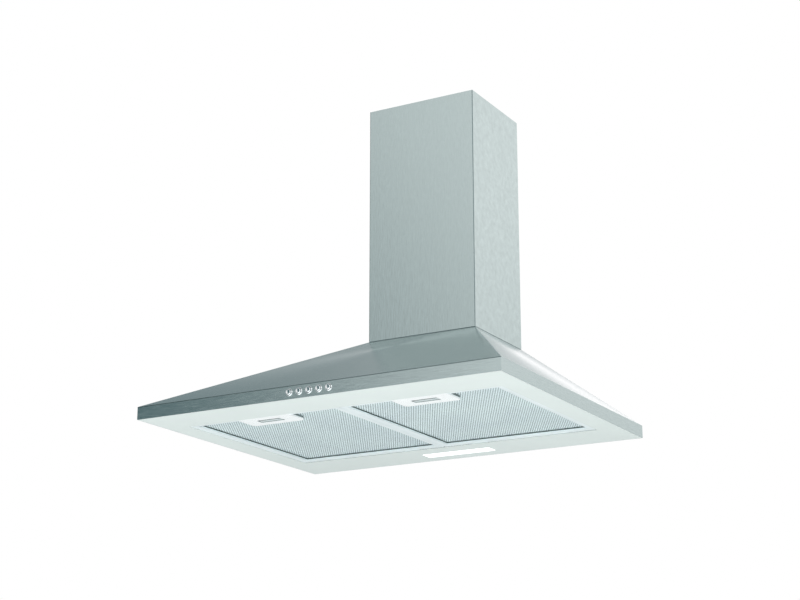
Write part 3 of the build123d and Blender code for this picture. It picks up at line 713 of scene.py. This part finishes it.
def buttons():
    """The row of buttons, each in its ring."""
    low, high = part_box("button_bezels")
    outer = (high.z - low.z) / 2
    cap_low, cap_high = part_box("button_1")
    inner = (cap_high.z - cap_low.z) / 2 + bezel_clearance
    for index in range(1, button_count + 1):
        button(index)
        bezel_ring(index, low.y, outer, inner, high.y - low.y)


# ---------------------------------------------------------------- lamp and inner pieces
def inner_pieces():
    """Rounded plastic pieces, and plain CAD pieces that only need their surface."""
    dress("lamp_lens", "root", plastic_edge, [lens_glow])
    dress("duct_adapter", "root", plastic_edge, [black_plastic])
    dress("scroll_left", "root", edge_radius, [black_plastic])
    dress("scroll_right", "root", edge_radius, [black_plastic])
    surfaces = {
        "impeller": wheel_plastic,
        "motor_shaft": shaft_steel,
        "motor": lacquer,
        "motor_bracket": zinc,
        "motor_isolators": soft_rubber,
        "damper_pin": shaft_steel,
        "damper_flap_front": black_plastic,
        "damper_flap_rear": black_plastic,
        "lamp_housing": black_plastic,
        "led_board": board_white,
        "led_driver": pale_plastic,
        "terminal_box": pale_plastic,
        "terminal_lid": pale_plastic,
        "cable_gland": black_plastic,
        "capacitor": shell_white,
        "capacitor_clip": black_plastic,
        "switch_housing": black_plastic,
        "left_filter_core": core_metal,
        "right_filter_core": core_metal,
    }
    for node, surface in surfaces.items():
        mesh = nodes[node].data
        mesh.materials.clear()
        mesh.materials.append(surface)


# ---------------------------------------------------------------- studio
def pale_floor():
    """A round floor that is clear when it is looked at from below."""
    bpy.ops.mesh.primitive_circle_add(
        vertices=floor_sides, radius=floor_radius, fill_type="NGON", location=(0, 0, floor_level)
    )
    floor = bpy.context.object
    floor.name = "studio_floor"
    paint = Surface("floor_paint", (0.86, 0.87, 0.87), 0.8)
    cloud = paint.noise((2.0, 2.0, 2.0), detail=2)
    paint.tint(cloud, 0.99, 1.01)
    clear = paint.add("ShaderNodeBsdfTransparent")
    geometry = paint.add("ShaderNodeNewGeometry")
    chooser = paint.add("ShaderNodeMixShader")
    paint.links.new(geometry.outputs["Backfacing"], chooser.inputs[0])
    paint.links.new(paint.shader.outputs["BSDF"], chooser.inputs[1])
    paint.links.new(clear.outputs["BSDF"], chooser.inputs[2])
    paint.links.new(chooser.outputs[0], paint.nodes["Material Output"].inputs["Surface"])
    floor.data.materials.append(paint.material)


def white_world():
    """A world that is plain white to every ray."""
    world = bpy.data.worlds.new("studio")
    bpy.context.scene.world = world
    world.use_nodes = True
    world.node_tree.nodes["Background"].inputs["Color"].default_value = (1, 1, 1, 1)


def grey_cards():
    """Sheer grey cards round the hood, which the steel mirrors and the camera doesn't see."""
    bpy.ops.mesh.primitive_uv_sphere_add(segments=64, ring_count=32, radius=cards_radius)
    tent = bpy.context.object
    tent.name = "grey_cards"
    tent.visible_camera = False
    tent.visible_transmission = False
    gauze = Surface("card_gauze", card_color, 1.0)
    place = gauze.add("ShaderNodeTexCoord")
    direction = gauze.add("ShaderNodeVectorMath", operation="NORMALIZE")
    gauze.links.new(place.outputs["Object"], direction.inputs[0])
    parts = gauze.add("ShaderNodeSeparateXYZ")
    gauze.links.new(direction.outputs[0], parts.inputs["Vector"])
    let_through = gauze.shade_along(parts.outputs["Z"], ceiling_shades)
    for toward, end, whole, share in cards:
        near = gauze.add("ShaderNodeVectorMath", operation="DOT_PRODUCT")
        near.inputs[1].default_value = toward
        gauze.links.new(direction.outputs[0], near.inputs[0])
        card = gauze.spread(near.outputs["Value"], 1.0, share, end, whole)
        product = gauze.add("ShaderNodeMath", operation="MULTIPLY")
        gauze.links.new(let_through, product.inputs[0])
        gauze.links.new(card, product.inputs[1])
        let_through = product.outputs[0]
    grey = gauze.add("ShaderNodeEmission")
    grey.inputs["Color"].default_value = (*card_color, 1)
    clear = gauze.add("ShaderNodeBsdfTransparent")
    mixed = gauze.add("ShaderNodeMixShader")
    gauze.links.new(let_through, mixed.inputs[0])
    gauze.links.new(grey.outputs[0], mixed.inputs[1])
    gauze.links.new(clear.outputs[0], mixed.inputs[2])
    gauze.links.new(mixed.outputs[0], gauze.nodes["Material Output"].inputs["Surface"])
    tent.data.materials.append(gauze.material)


def soft_lamps():
    """Square lamps that aim at the hood and that the camera doesn't see."""
    for name, place, width, power, color in lamps:
        data = bpy.data.lights.new(name, "AREA")
        data.size = width
        data.energy = power
        data.color = color
        lamp = bpy.data.objects.new(name, data)
        lamp.location = place
        toward = Vector(lamp_aim) - Vector(place)
        lamp.rotation_euler = toward.to_track_quat("-Z", "Y").to_euler()
        lamp.visible_camera = False
        bpy.context.scene.collection.objects.link(lamp)


def camera():
    """The photograph's camera, as fitted to 13 corners of the hood."""
    data = bpy.data.cameras.new("camera")
    data.sensor_width = sensor_width
    data.lens = focal_pixels / photo_width * sensor_width
    data.clip_end = camera_reach
    eye = bpy.data.objects.new("camera", data)
    eye.location = camera_place
    eye.rotation_euler = (math.pi / 2 + camera_pitch, 0, camera_yaw)
    bpy.context.scene.collection.objects.link(eye)
    bpy.context.scene.camera = eye


camera()
shell()
filters()
buttons()
inner_pieces()
pale_floor()
white_world()
grey_cards()
soft_lamps()
bpy.context.scene.view_settings.view_transform = "Standard"

bpy.context.view_layer.update()
